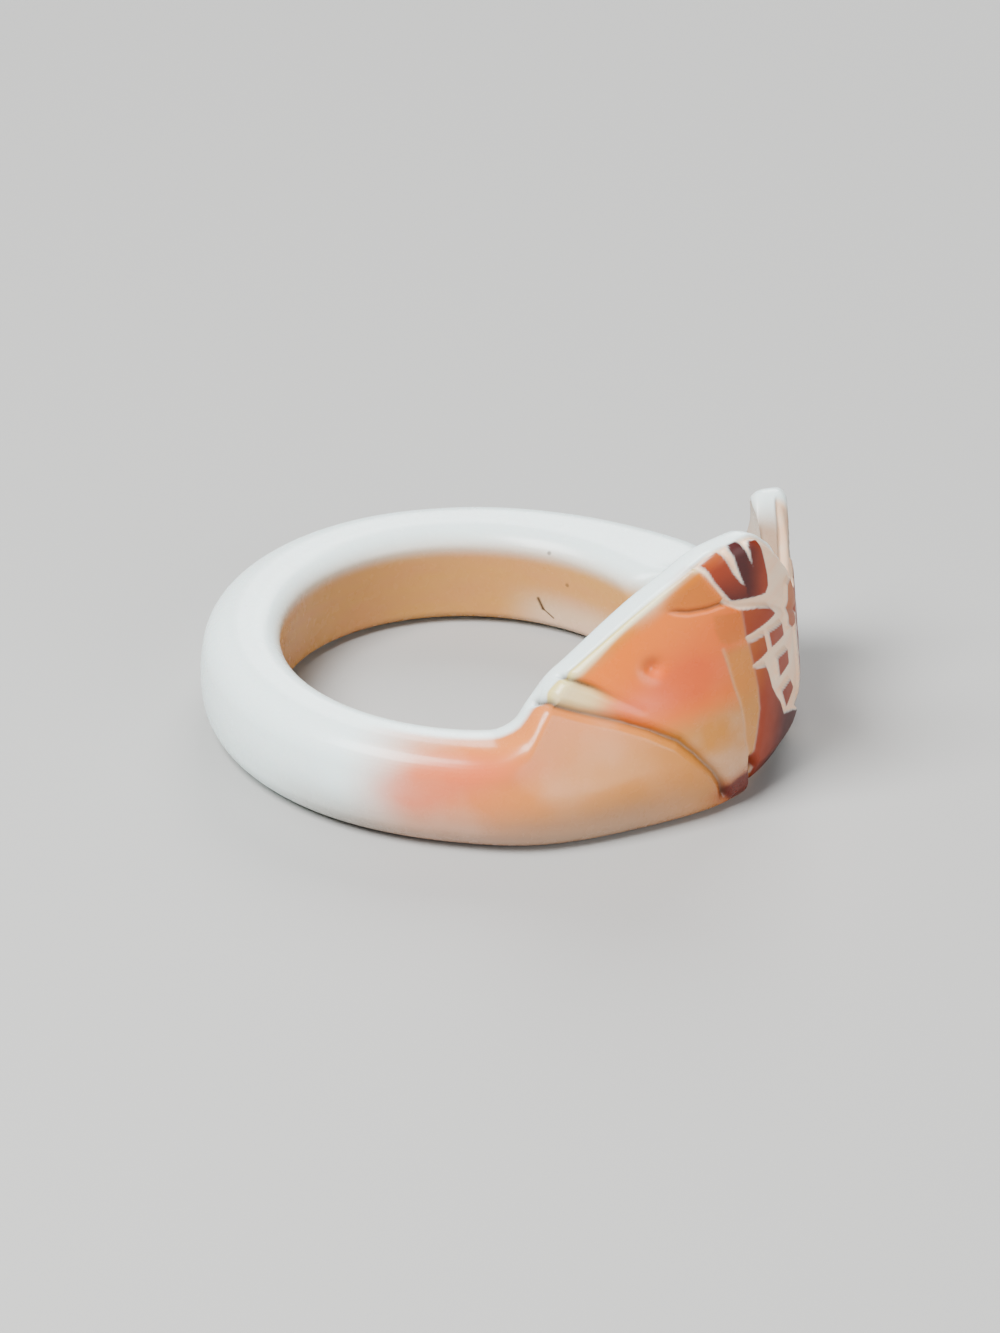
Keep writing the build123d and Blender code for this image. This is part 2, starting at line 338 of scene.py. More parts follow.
FIN_SHOULDER = [
    (-45.0, 8.15), (-43.5, 8.06), (-40.5, 7.94), (-37.5, 7.96), (-34.9, 8.07), (-34.6, 8.30),
    (-36.0, 8.90), (-37.7, 9.70), (-38.4, 10.10), (-41.0, 9.60), (-44.0, 8.75),
]
HEAD_BLOCK = [
    (-36.5, 7.55), (-31.0, 7.42), (-30.2, 6.00), (-34.0, 5.95), (-35.5, 6.15), (-36.4, 6.80),
]
RAISED = [
    # outline, tone of brown from 0 to 1, change of tone per millimetre across and up
    ([(-37.0, 10.00), (-35.6, 10.30), (-34.5, 10.50), (-33.9, 10.00), (-32.7, 9.30), (-31.3, 8.75),
      (-29.9, 8.50), (-29.9, 8.00), (-32.9, 8.10), (-33.8, 8.42), (-35.6, 9.15)], 0.60, 0.05, -0.22),
    ([(-32.3, 10.50), (-31.9, 10.80), (-30.8, 10.86), (-30.5, 10.40), (-29.7, 9.83), (-28.4, 9.20),
      (-28.9, 9.95), (-29.2, 10.45), (-28.7, 10.68), (-27.5, 10.60), (-26.9, 10.11), (-26.0, 9.34),
      (-25.2, 8.58), (-25.0, 8.08), (-25.6, 7.84), (-29.9, 8.00), (-30.1, 8.55), (-30.9, 9.10),
      (-31.7, 9.80)], 0.84, -0.34, -0.02),
    ([(-14.6, 6.90), (-13.2, 6.95), (-11.6, 6.40), (-9.2, 5.60), (-8.5, 4.84), (-9.5, 4.34),
      (-12.2, 4.50), (-14.2, 4.90), (-14.6, 6.03)], 0.30, 0.0, -0.05),
    ([(-5.5, 5.20), (-3.0, 4.60), (-2.0, 4.20), (-4.0, 4.10), (-6.2, 4.60)], 0.45, 0.0, 0.0),
    ([(-32.4, 7.47), (-27.8, 7.22), (-24.2, 6.86), (-22.4, 6.42), (-26.0, 6.28), (-31.6, 6.12),
      (-32.2, 6.60)], 0.50, 0.04, -0.05),
    ([(-31.0, 5.62), (-25.8, 5.65), (-24.8, 4.80), (-29.4, 4.45), (-30.1, 5.00)], 0.40, 0.03, -0.08),
    ([(-24.0, 5.63), (-18.8, 5.43), (-17.8, 4.79), (-23.0, 4.87)], 0.52, 0.0, -0.1),
    ([(-20.2, 3.86), (-15.5, 3.68), (-14.8, 2.97), (-19.2, 2.92)], 0.52, -0.06, 0.0),
    ([(-29.4, 4.26), (-25.2, 4.02), (-24.4, 3.65), (-22.9, 2.70), (-21.3, 2.12), (-19.2, 1.50),
      (-17.6, 0.70), (-12.4, 0.20), (-9.0, -0.30), (-5.0, -0.80), (-3.0, -2.60), (-14.0, -2.90),
      (-26.2, -2.60), (-26.6, -1.70), (-27.4, -1.10), (-29.0, -0.60), (-29.2, -0.20), (-29.0, 0.32),
      (-28.2, 1.21), (-27.6, 2.08), (-28.2, 3.24)], 0.72, 0.15, -0.05),
    ([(-18.0, 1.93), (-13.8, 1.92), (-12.3, 1.37), (-16.0, 0.98)], 0.62, 0.0, 0.0),
]
SCALE_ROWS = [
    [(-4.0, 4.10), (2.0, 3.70), (15.0, 4.00)],
    [(-5.0, 3.25), (4.0, 2.70), (15.0, 2.75)],
    [(-4.0, 1.75), (4.0, 1.40), (15.0, 1.30)],
    [(-4.0, 0.50), (5.0, 0.20), (15.0, -0.10)],
]
SCALE_COLUMNS = [
    [(1.0, 4.30), (3.2, 2.30), (5.5, 0.30), (8.0, -2.20)],
    [(8.0, 4.30), (10.0, 2.30), (12.0, 0.30), (14.0, -2.20)],
]
# Azimuths of the tail's carved face and its tip
TAIL_START, TAIL_TIP, TAIL_END = 15.0, 18.0, 25.0
TAIL_RAYS = [
    [(TAIL_START, 4.20), (16.5, 7.00)],
    [(TAIL_START, 3.60), (19.0, 6.40)],
    [(TAIL_START, 3.00), (21.5, 4.90)],
    [(TAIL_START, 2.30), (22.0, 3.10)],
    [(TAIL_START, 1.60), (21.5, 0.90)],
    [(TAIL_START, 0.90), (19.0, -1.20)],
]
TAIL_EDGE = [(TAIL_END, 1.5), (TAIL_END, -2.4)]

# Cuts: depth, half width and, where painted shade darkens them, the shade's half width in millimetres
MOUTH_CUT = (0.28, 0.34, 0.22)
JAW_CUT = (0.36, 0.46, 0.27)
FIN_CREASE_CUT = (0.14, 0.24, 0.19)
GILL_FOOT_CUT = (0.54, 0.46, 0.24)
TAIL_RAY_CUT = (0.15, 0.26)
TAIL_EDGE_CUT = (0.20, 0.34)
RIM_CREASE_CUT = (0.05, 0.12)
# How far the crease lies below the rim, and how far the patches reach past their outlines
RIM_CREASE_DROP, PATCH_GROWTH = 0.60, 0.07
STRIP_DEPTH, KEEL_DEPTH, PATCH_DEPTH, FIN_FOOT_DEPTH, EYE_DEPTH = 0.07, 0.34, 0.19, 0.13, 0.30
FAR_AWAY = 1e9

# Soft spots: azimuth, climb, width and height in millimetres, and a lean in degrees where it has one
EYE = (-48.0, 5.50, 0.36, 0.40)
# Spots of colour, each after its strength; two of the head's salmon spots are painted highlights
EMBER_SPOTS = [
    (1.0, (-40.0, 4.90, 1.7, 1.5)),
    (0.6, (-46.0, 4.40, 1.6, 1.0)),
    (0.5, (-33.0, 6.90, 1.2, 0.8)),
]
HEAD_SALMON_AND_HIGHLIGHT_SPOTS = [
    (0.8, (-50.5, 3.90, 1.2, 0.70)),
    (0.5, (-57.0, 3.90, 1.6, 0.35)),
    # A painted highlight: a pink reflection by the top of the gill arc
    (0.4, (-35.2, 5.00, 0.5, 0.70)),
    # A painted highlight in the lower part of the eye
    (0.5, (-47.6, 5.15, 0.3, 0.30)),
]
BAND_SALMON_SPOTS = [
    (1.10, (-98.0, 1.10, 2.8, 1.15, -15.0)),
    (0.60, (-105.0, 0.30, 1.9, 1.00)),
    (0.45, (-85.0, 1.90, 2.6, 0.70)),
]
CORNER_SPOTS = [
    (1.495, (-29.0, -1.50, 1.25, 0.80)),
    (0.6325, (-33.0, -1.35, 1.20, 0.60)),
]


class Face:
    """Where each point of the grid lies on the carved face, for measuring from lines and spots."""

    def __init__(self, azimuths, outline):
        turned = np.where(azimuths > 180, azimuths - 360, azimuths)
        self.azimuth = np.broadcast_to(turned[:, None], outline.shape[:2])
        self.radius, self.z = outline[..., 0] / MM, outline[..., 1] / MM
        step = np.linalg.norm(np.diff(outline, axis=1, prepend=outline[:, :1]), axis=2) / MM
        travel = np.cumsum(step, axis=1)
        column = np.arange(len(azimuths))
        row = np.argmax(self.z > 0, axis=1)
        low, high = self.z[column, row - 1], self.z[column, row]
        side = between(travel[column, row - 1], travel[column, row], -low / (high - low))
        self.climb = travel - side[:, None]
        self.below_rim = travel[:, OUTER_ROWS - 1:OUTER_ROWS] - travel

    def offset(self, azimuth, climb):
        """Across and up from a named point to every point of the grid, in millimetres."""
        return np.radians(self.azimuth - azimuth) * self.radius, self.climb - climb

    def line(self, points):
        """Distance from a line in millimetres, and how far along the line its nearest point is."""
        nearest = np.full(self.z.shape, FAR_AWAY)
        along = np.zeros(self.z.shape)
        for i, (start, end) in enumerate(zip(points[:-1], points[1:])):
            sx, sy = self.offset(*start)
            ex, ey = self.offset(*end)
            dx, dy = sx - ex, sy - ey
            t = np.clip((sx * dx + sy * dy) / (dx * dx + dy * dy), 0, 1)
            gap = np.hypot(sx - dx * t, sy - dy * t)
            closer = gap < nearest
            nearest = np.where(closer, gap, nearest)
            along = np.where(closer, (i + t) / (len(points) - 1), along)
        return nearest, along

    def nearest(self, lines):
        """Distance in millimetres from the nearest of several lines."""
        return np.min([self.line(points)[0] for points in lines], axis=0)

    def climb_of(self, points):
        """How high a line that runs to the right lies at each point's azimuth."""
        azimuths, climbs = zip(*points)
        return np.interp(self.azimuth, azimuths, climbs)

    def inside(self, outline):
        """Millimetres inside a closed outline, less than 0 outside it."""
        gap = self.line([*outline, outline[0]])[0]
        crossings = np.zeros(self.z.shape, int)
        for (azimuth, climb), (next_azimuth, next_climb) in zip(outline, [*outline[1:], outline[0]]):
            if climb != next_climb:
                spans = (climb > self.climb) != (next_climb > self.climb)
                meets = azimuth + (self.climb - climb) * (next_azimuth - azimuth) / (next_climb - climb)
                crossings += spans & (self.azimuth < meets)
        return np.where(crossings % 2 == 1, gap, -gap)

    def right_of(self, points):
        """Millimetres to the right of a line that runs from the keel up."""
        azimuths, climbs = zip(*points)
        return np.radians(self.azimuth - np.interp(self.climb, climbs, azimuths)) * self.radius

    def spot(self, azimuth, climb, wide, tall, lean=0):
        """A soft round patch: 1 in its middle, sized in millimetres, leaning right by degrees."""
        across, up = self.offset(azimuth, climb)
        turn = math.radians(lean)
        a = across * math.cos(turn) - up * math.sin(turn)
        b = across * math.sin(turn) + up * math.cos(turn)
        return np.exp(-((a / wide) ** 2 + (b / tall) ** 2))

    def spots(self, table):
        """The sum of soft round patches, each after its strength."""
        return sum(strength * self.spot(*place) for strength, place in table)

    def ripples(self, middle, across, up):
        """A tone of brown that ripples gently over the face."""
        return middle + 0.10 * np.sin(across * self.azimuth + up * self.climb)


def vee(gap, half_width):
    """A V-shaped cut's share of its depth, with a slightly rounded bottom and lips."""
    t = np.clip(1 - gap / half_width, 0, 1)
    return t * t * (1.6 - 0.6 * t)


def skin_patches(face):
    """Millimetres outside the nearest raised patch of skin, and the patches' tone of brown."""
    outside = np.full(face.z.shape, FAR_AWAY)
    tone = np.zeros(face.z.shape)
    for outline, shade, across_rate, up_rate in RAISED:
        inside = face.inside(outline)
        across, up = face.offset(*np.mean(outline, axis=0))
        nearer = -inside < outside
        tone = np.where(nearer, shade + across_rate * across + up_rate * up, tone)
        outside = np.minimum(outside, -inside)

    # The scales on the far side of the front, between plain rows and columns: they start on a
    # slanted line, and end a little below the fin's foot and above the keel
    half_cut, fin_gap, keel_climb = 0.17, 0.25, -2.2
    start = np.radians(-0.5 - 0.8 * face.climb - face.azimuth) * face.radius
    far = np.maximum(half_cut - face.nearest([*SCALE_ROWS, *SCALE_COLUMNS]), start)
    far = np.maximum(far, face.climb - face.climb_of(FIN_FOOT) + fin_gap)
    far = np.maximum(far, keel_climb - face.climb)
    tone = np.where(far < outside, face.ripples(0.60, 0.55, 0.9), tone)
    outside = np.minimum(outside, far)
    return outside - PATCH_GROWTH, np.clip(tone, 0, 1)


def carve(face):
    """Depth of the carving in millimetres and the masks that colour it, on the grid's points.

    The ranges are shares of a line, azimuths in degrees, or millimetres of climb, inside an outline
    or below the rim.
    """
    azimuth, climb, below_rim = face.azimuth, face.climb, face.below_rim

    # The mouth fades out over the cheek
    # Each cut below also gets a mask that darkens its colour: painted shade
    deep, wide, shade_wide = MOUTH_CUT
    gap, along = face.line(MOUTH)
    fade = 1 - 0.9 * smooth_step(0.35, 1, along)
    depth = deep * fade * vee(gap, wide)
    cut_shade = fade ** 1.3 * vee(gap, shade_wide)

    deep, wide, shade_wide = JAW_CUT
    gap, along = face.line(JAW)
    depth += deep * vee(gap, wide)
    cut_shade = np.maximum(cut_shade, (1 - 0.35 * smooth_step(0.1, 0.4, along)) * vee(gap, shade_wide))

    deep, wide, shade_wide = FIN_CREASE_CUT
    gap, along = face.line(FIN_CREASE)
    fade = smooth_step(0, 0.4, along)
    depth += deep * vee(gap, wide) * fade
    cut_shade = np.maximum(cut_shade, 0.75 * vee(gap, shade_wide) * fade)

    # The strip behind the head's edge stands a little lower
    skin_side = face.right_of(SKIN_EDGE)
    behind = face.right_of(GILL_ARC[::-1]) > 0
    strip = np.where(behind, 1, vee(face.line(GILL_ARC)[0], 0.12))
    strip = strip * smooth_step(6.0, 5.3, climb) * smooth_step(-1.4, -0.6, climb)
    depth += STRIP_DEPTH * strip * smooth_step(0.5, -0.1, skin_side)

    # The gill's foot is a deep cut, and the body is cut back above the keel
    deep, wide, shade_wide = GILL_FOOT_CUT
    gap, along = face.line(GILL_FOOT)
    depth += deep * vee(gap, wide) * smooth_step(0, 0.35, along)
    fade = smooth_step(0, 0.3, along) * smooth_step(1, 0.6, along)
    cut_shade = np.maximum(cut_shade, 0.8 * vee(gap, shade_wide) * fade)
    body = smooth_step(-27.2, -25.5, azimuth) * smooth_step(4, -8, azimuth)
    depth += KEEL_DEPTH * body * smooth_step(-0.5, -1.7, climb)

    # Patches of skin stand proud of the pale cuts between them
    outside, tone = skin_patches(face)
    carved = smooth_step(-0.12, 0.06, skin_side) * smooth_step(0.50, 0.62, below_rim)
    carved = carved * smooth_step(TAIL_START + 0.5, TAIL_START - 0.5, azimuth)
    gap, along = face.line(FIN_FOOT)
    foot = vee(gap, 0.10 + 0.30 * smooth_step(0, 0.4, along))
    depth += carved * (PATCH_DEPTH * smooth_step(-0.03, 0.17, outside) + FIN_FOOT_DEPTH * foot)
    pale_cut = carved * smooth_step(-0.04, 0.05, outside)
    skin = carved * smooth_step(0.05, -0.04, outside)

    # The tail's outer face: skin with pale rays
    deep, wide = TAIL_RAY_CUT
    rays = face.nearest(TAIL_RAYS)
    depth = np.maximum(depth, deep * vee(rays, wide))
    start = TAIL_START + 3.5 * smooth_step(3, 5, climb)
    tail = smooth_step(-0.5, 0.5, azimuth - start) * smooth_step(1.1, 1.4, below_rim)
    tail = tail * smooth_step(TAIL_END + 0.5, TAIL_END - 0.5, azimuth)
    ray_cut = smooth_step(0.18, 0.08, rays)
    pale_cut = np.maximum(pale_cut, tail * ray_cut)
    skin = np.maximum(skin, tail * (1 - ray_cut))
    tone = np.where(azimuth > TAIL_START, face.ripples(0.55, 0.5, 0.6), tone)
    deep, wide = TAIL_EDGE_CUT
    depth += deep * vee(face.line(TAIL_EDGE)[0], wide)

    depth += EYE_DEPTH * face.spot(*EYE)
    # A fine crease marks the rim of the head, and its mask also paints shade into the colour there
    deep, wide = RIM_CREASE_CUT
    crease = vee(np.abs(below_rim - RIM_CREASE_DROP), wide)
    crease = crease * smooth_step(-72, -66, azimuth) * smooth_step(-33, -38, azimuth)
    depth += deep * crease
    masks = {
        "cut": pale_cut, "skin": skin, "tone": tone, "cut_shade": cut_shade, "crease": crease, "strip": strip,
    }
    return depth, masks


def shell_layers(face, strip):
    """Masks for the shell's colours on the grid's points, each from 0 to 1.

    The ranges are azimuths in degrees, or millimetres of climb, height or below the rim.
    """
    azimuth, climb, below_rim = face.azimuth, face.climb, face.below_rim
    outer = (below_rim > -0.01).astype(float)
    front = smooth_step(-77, -73, azimuth) * smooth_step(40, 30, azimuth)
    above_jaw = smooth_step(-0.1, 0.15, climb - face.climb_of(JAW))
    above_jaw = above_jaw * smooth_step(-74.5, -73, azimuth)
    head = outer * above_jaw * smooth_step(0.15, -0.15, face.right_of(SKIN_EDGE))

    # The head: pale under the rim and on the lower lip, orange over the cheek, tan at the throat
    lip = smooth_step(0.2, -0.2, climb - face.climb_of(MOUTH)) * smooth_step(-54, -63, azimuth)
    off_lip = 1 - 0.6 * lip
    throat = smooth_step(0.5, -1.1, climb - face.climb_of(THROAT))
    below_strip = smooth_step(0.70, 1.05 + 0.35 * smooth_step(-52, -64, azimuth), below_rim)
    orange = head * front * (1 - throat) * off_lip * smooth_step(0.70, 1.80, below_rim)
    orange = orange * smooth_step(-72, -63, azimuth + 3 * lip)

    # The band: peach and salmon on the near side, tan towards the front, and at the keel a mauve tint
    # with painted shade, darker towards the bottom
    band = outer * (1 - above_jaw)
    near_side = band * smooth_step(-8, -22, azimuth)
    peach = near_side * smooth_step(-120, -100, azimuth) * smooth_step(0.15, 0.75, below_rim)
    tan = near_side * smooth_step(-92, -62, azimuth) * smooth_step(4.5, 1.0, climb)
    keel = smooth_step(-150, -110, azimuth) * smooth_step(-25, -60, azimuth)
    # Two of the head's spots are painted highlights, in the eye and by the gill arc
    salmon_and_highlights = face.spots(BAND_SALMON_SPOTS) * peach + face.spots(HEAD_SALMON_AND_HIGHLIGHT_SPOTS) * head

    # The wall of the finger hole, a little paler near the front on the far side
    wall = (1 - outer) * smooth_step(10.4, 9.0, face.radius)
    wall = wall * smooth_step(2.3, 1.0, face.z) * smooth_step(-2.4, -2.2, face.z)
    wall = wall * (1 - 0.22 * smooth_step(84, 66, azimuth) * smooth_step(0.2, -1.4, face.z))

    corner = np.clip(face.spots(CORNER_SPOTS), 0, 1) * (climb < 1)
    tail = smooth_step(1, 8, azimuth) * smooth_step(34, 27, azimuth)
    return {
        "strip": strip * head,
        # The tail's face below its top: a grey-pink tint with painted shade
        "tail": tail * smooth_step(7.7, 6.2, face.z),
        "orange": orange,
        "ember": np.clip(face.spots(EMBER_SPOTS), 0, 1) * head,
        "salmon_and_highlights": np.clip(salmon_and_highlights, 0, 1),
        "throat": head * below_strip * off_lip,
        "peach": peach,
        "tan": tan,
        "mauve_and_shade": band * keel * smooth_step(0.6, -1.9, climb),
        "wall": wall,
        "pale": head * smooth_step(0.56, 0.68, below_rim) * (1 - below_strip * off_lip),
        "shoulder": smooth_step(-0.25, 0.35, face.inside(FIN_SHOULDER)) * outer,
        "block": smooth_step(-0.08, 0.12, face.inside(HEAD_BLOCK)) * outer,
        "corner": corner * outer * smooth_step(-26.6, -27.4, azimuth),
        # A pale line along the gill arc: a painted highlight on the edge of its step
        "arc_highlight": vee(face.line(GILL_ARC)[0], 0.16) * smooth_step(-0.9, 0.2, climb) * outer,
    }


def surface_normals(place):
    """Outward normals of the closed grid."""
    along = np.roll(place, -1, 0) - np.roll(place, 1, 0)
    up = np.roll(place, -1, 1) - np.roll(place, 1, 1)
    normal = np.cross(along, up)
    return normal / np.maximum(np.linalg.norm(normal, axis=2, keepdims=True), 1e-12)


def hollowed(place, sizes):
    """The grid's points pushed out of the round hollow behind the tail."""
    tip = math.radians(TAIL_TIP)
    _, crest, lean, _ = stations_at(np.array([TAIL_TIP]))[0]
    out = sizes.bore_radius + sizes.front_wall * lean + sizes.hollow_bite - sizes.hollow_radius
    up = sizes.band_height / 2 + sizes.fin_rise * crest - sizes.hollow_drop
    centre = np.array([out * math.cos(tip), out * math.sin(tip), up])
    away = place - centre
    gap = np.linalg.norm(away, axis=2, keepdims=True)
    push = np.clip(sizes.hollow_radius - gap, 0, None)
    return place + away / gap * push


def shell_ring_mesh(sizes):
    """The ring's mesh: a spun grid with every point moved to the carved surface."""
    azimuths = column_azimuths()
    outline = sections(sizes, azimuths)
    turn = np.radians(azimuths)[:, None]
    place = np.stack([
        outline[..., 0] * np.cos(turn), outline[..., 0] * np.sin(turn), outline[..., 1]
    ], -1)
    # The carving fades out over the first and last rows of the outer face
    rows = np.arange(OUTER_ROWS + INNER_ROWS)
    on_face = smooth_step(0, 4, rows) * smooth_step(OUTER_ROWS + 1, OUTER_ROWS - 3, rows)
    face = Face(azimuths, outline)
    depth, carving = carve(face)
    masks = {name: values * on_face for name, values in carving.items()}
    masks.update(shell_layers(face, carving["strip"]))
    place = place - surface_normals(place) * (depth * on_face)[..., None] * MM
    place = hollowed(place, sizes)
    low, high = np.array(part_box("shell_ring"))
    place = np.clip(place, low, high)

    mesh, column, row = spun_grid(len(azimuths), OUTER_ROWS + INNER_ROWS)
    layers = {name: mesh.verts.layers.float.new(name) for name in masks}
    for vertex, i, j in zip(mesh.verts, column, row):
        vertex.co = place[i, j]
        for name, layer in layers.items():
            vertex[layer] = masks[name][i, j]
    bmesh.ops.recalc_face_normals(mesh, faces=mesh.faces)
    data = bpy.data.meshes.new("carved_ring")
    mesh.to_mesh(data)
    mesh.free()
    data.shade_smooth()
    return data


# Materials

# Masks that clouds break up, each with the colour it brings in and its strength, lowest first
CLOUDY_LAYERS = [
    ("peach", "peach", 1.0),
    ("tan", "tan", 0.85),
    ("mauve_and_shade", "mauve_and_shade", 0.80),
    ("tail", "stone", 0.90),
    ("throat", "tan", 0.95),
    ("orange", "orange", 1.0),
    ("ember", "ember", 0.80),
    ("pale", "cream", 0.90),
    ("salmon_and_highlights", "salmon_and_highlights", 0.80),
]
# Even masks over those
EVEN_LAYERS = [
    ("shoulder", "ochre", 0.80),
    ("strip", "tan", 0.75),
    ("block", "ochre", 0.55),
    # The pale line along the gill arc is a painted highlight
    ("arc_highlight", "blush", 0.35),
]
# Noise: its size as a scale per metre, and its detail
CLOUD, FINE, LAYERS = (170.0, 3.0), (1500.0, 4.0), (260.0, 4.0)
# The layers lie flat, so their noise is squeezed along the finger hole
LAYER_SQUEEZE = (1.0, 1.0, 5.0)
POLISH = 0.22
ROUGHER = [("cut_shade", 0.30), ("cut", 0.20), ("skin", 0.24)]
GLOSS = {
    "IOR": 1.53,
    "Specular IOR Level": 0.34,
    "Coat Weight": 0.05,
    "Coat Roughness": 0.10,
    "Subsurface Weight": 0.08,
    "Subsurface Radius": (1.0, 0.5, 0.3),
    "Subsurface Scale": 0.2 * MM,
}
# The crack in the wall of the finger hole: both ends and the width of each stroke, in millimetres
CRACK = [
    ((2.89, 8.26, -0.70), (3.12, 8.17, -1.18), 0.14),
    ((3.12, 8.17, -1.18), (3.62, 7.97, -1.55), 0.07),
]
SPECKS = [(3.32, 8.14, 1.74), (4.19, 7.68, 0.34)]
SPECK_CORE, SPECK_EDGE, SPECK_STRENGTH = 0.05 * MM, 0.14 * MM, 0.6


class Value:
    """A shader socket that takes part in sums: each operator adds its Math node."""

    def __init__(self, tree, socket):
        self.tree = tree
        self.socket = socket

    def _math(self, operation, *terms):
        return self.tree.node("ShaderNodeMath", {"operation": operation}, dict(enumerate(terms)))

    def __add__(self, other):
        return self._math("ADD", self, other)

    def __radd__(self, other):
        return self._math("ADD", other, self)

    def __sub__(self, other):
        return self._math("SUBTRACT", self, other)

    def __rsub__(self, other):
        return self._math("SUBTRACT", other, self)

    def __mul__(self, other):
        return self._math("MULTIPLY", self, other)

    def __rmul__(self, other):
        return self._math("MULTIPLY", other, self)

    def __pow__(self, other):
        return self._math("POWER", self, other)

    def limit(self):
        """The value held between 0 and 1."""
        return self.tree.node("ShaderNodeClamp", {}, {"Value": self})

    def ease(self, low, high, to_low=0.0, to_high=1.0):
        """The value's place between low and high, on an easy curve."""
        sockets = dict(enumerate((self, low, high, to_low, to_high)))
        return self.tree.node("ShaderNodeMapRange", {"interpolation_type": "SMOOTHSTEP"}, sockets)


class Finish:
    """One material's node tree."""

    def __init__(self, name):
        self.material = bpy.data.materials.new(name)
        self.material.use_nodes = True
        self.nodes = self.material.node_tree.nodes
        self.links = self.material.node_tree.links
        self.shader = self.nodes["Principled BSDF"]

    def node(self, kind, settings, sockets, out=0):
        """Adds a node, sets it up and feeds its sockets, by name or number, with values or links."""
        made = self.nodes.new(kind)
        for key, value in settings.items():
            setattr(made, key, value)
        for key, value in sockets.items():
            self.feed(made.inputs[key], value)
        return Value(self, made.outputs[out])

    def feed(self, socket, value):
        """Links a value to a socket or sets the socket."""
        if isinstance(value, Value):
            self.links.new(value.socket, socket)
        else:
            socket.default_value = value

    def mask(self, name):
        """A mask that the mesh carries."""
        return self.node("ShaderNodeAttribute", {"attribute_name": name}, {}, out="Fac")

    def mix(self, share, low, high):
        """A colour a share of the way between two."""
        return self.node("ShaderNodeMix", {"data_type": "RGBA"}, {0: share, 6: low, 7: high}, out=2)

    def cover(self, base, mask, strength, top):
        """A colour laid over another by a mask."""
        return self.mix((mask * strength).limit(), base, top)

    def noise(self, place, size):
        """A soft noise from 0 to 1, of the given scale and detail."""
        scale, detail = size
        sockets = {"Vector": place, "Scale": scale, "Detail": detail, "Roughness": 0.5}
        return self.node("ShaderNodeTexNoise", {}, sockets)

    def near_line(self, axes, start, end, width):
        """1 on a straight line between points in millimetres, 0 from width away."""
        run = [(b - a) * MM for a, b in zip(start, end)]
        from_start = [axis - a * MM for axis, a in zip(axes, start)]
        along = (dot(from_start, run) * (1 / dot(run, run))).limit()
        gaps = [gap - along * step for gap, step in zip(from_start, run)]
        return (dot(gaps, gaps) ** 0.5).ease(0.0, width * MM, 1.0, 0.0)

    def near_point(self, axes, point):
        """SPECK_STRENGTH round a point in millimetres, fading to 0."""
        gaps = [axis - a * MM for axis, a in zip(axes, point)]
        return (dot(gaps, gaps) ** 0.5).ease(SPECK_CORE, SPECK_EDGE, SPECK_STRENGTH, 0.0)


def dot(first, second):
    """The dot product of two vectors, each of three numbers or shader values."""
    return first[0] * second[0] + first[1] * second[1] + first[2] * second[2]


def polished_shell(colours):
    """Glossy layered shell: white, peach and amber through the band, brown skin on the scales."""
    finish = Finish("polished_shell")
    paint = {name: (*getattr(colours, name), 1.0) for name in ShellRingColours.__annotations__}
    place = finish.node("ShaderNodeTexCoord", {}, {}, out="Object")
    squeezed = finish.node("ShaderNodeMapping", {}, {"Vector": place, "Scale": LAYER_SQUEEZE})
    cloud = finish.noise(place, CLOUD)
    fine = finish.noise(place, FINE)
    layers = finish.noise(squeezed, LAYERS)

    # The polished layers, from the white up
    base = finish.mix(cloud.ease(0.3, 0.7, 0.0, 0.25), paint["pearl"], paint["haze"])
    patchy = cloud.ease(0.25, 0.75, 0.75, 1.15)
    for mask, name, strength in CLOUDY_LAYERS:
        base = finish.cover(base, finish.mask(mask) * patchy, strength, paint[name])
    layered = layers.ease(0.3, 0.7)
    amber = finish.mix(layered, paint["amber"], paint["tan"])
    base = finish.cover(base, finish.mask("wall"), 0.95, amber)
    for mask, name, strength in EVEN_LAYERS:
        base = finish.cover(base, finish.mask(mask), strength, paint[name])
    base = finish.mix(finish.mask("cut"), base, finish.mix(layered, paint["blush"], paint["sand"]))

    # The brown skin, from light to dark by its tone
    tone = (finish.mask("tone") + (cloud - 0.5) * 0.35 + (fine - 0.5) * 0.08).limit()
    brown = finish.mix(tone.ease(0.1, 0.55), paint["ochre"], paint["bark"])
    brown = finish.mix(tone.ease(0.5, 1.0), brown, paint["oxblood"])
    base = finish.mix(finish.mask("skin"), base, brown)
    corner = finish.mask("corner")
    dark = finish.mix(corner.ease(0.5, 1.0, 0.0, 0.7), paint["bark"], paint["oxblood"])
    base = finish.mix(corner, base, dark)

    # Painted shade in the crease along the rim and in the cuts, then the dark of the crack and the
    # specks
    base = finish.cover(base, finish.mask("crease"), 0.45, paint["shade"])
    base = finish.mix(finish.mask("cut_shade"), base, paint["grime"])
    split = finish.node("ShaderNodeSeparateXYZ", {}, {"Vector": place})
    axes = [Value(finish, output) for output in split.socket.node.outputs]
    crack = sum(finish.near_line(axes, *stroke) for stroke in CRACK)
    crack = (crack + sum(finish.near_point(axes, speck) for speck in SPECKS)).limit()
    base = finish.mix(crack, base, paint["grime"])

    shader = finish.shader.inputs
    finish.feed(shader["Base Color"], base)
    rough = fine * 0.10 + POLISH
    for mask, amount in ROUGHER:
        rough = rough + finish.mask(mask) * amount
    finish.feed(shader["Roughness"], rough.limit())
    height = fine * 0.5 + layers * 0.5 - crack * 2.0
    relief = {"Strength": 0.12, "Distance": 0.03 * MM, "Height": height}
    finish.feed(shader["Normal"], finish.node("ShaderNodeBump", {}, relief))
    for name, value in GLOSS.items():
        shader[name].default_value = value
    return finish.material


# The studio and the operators

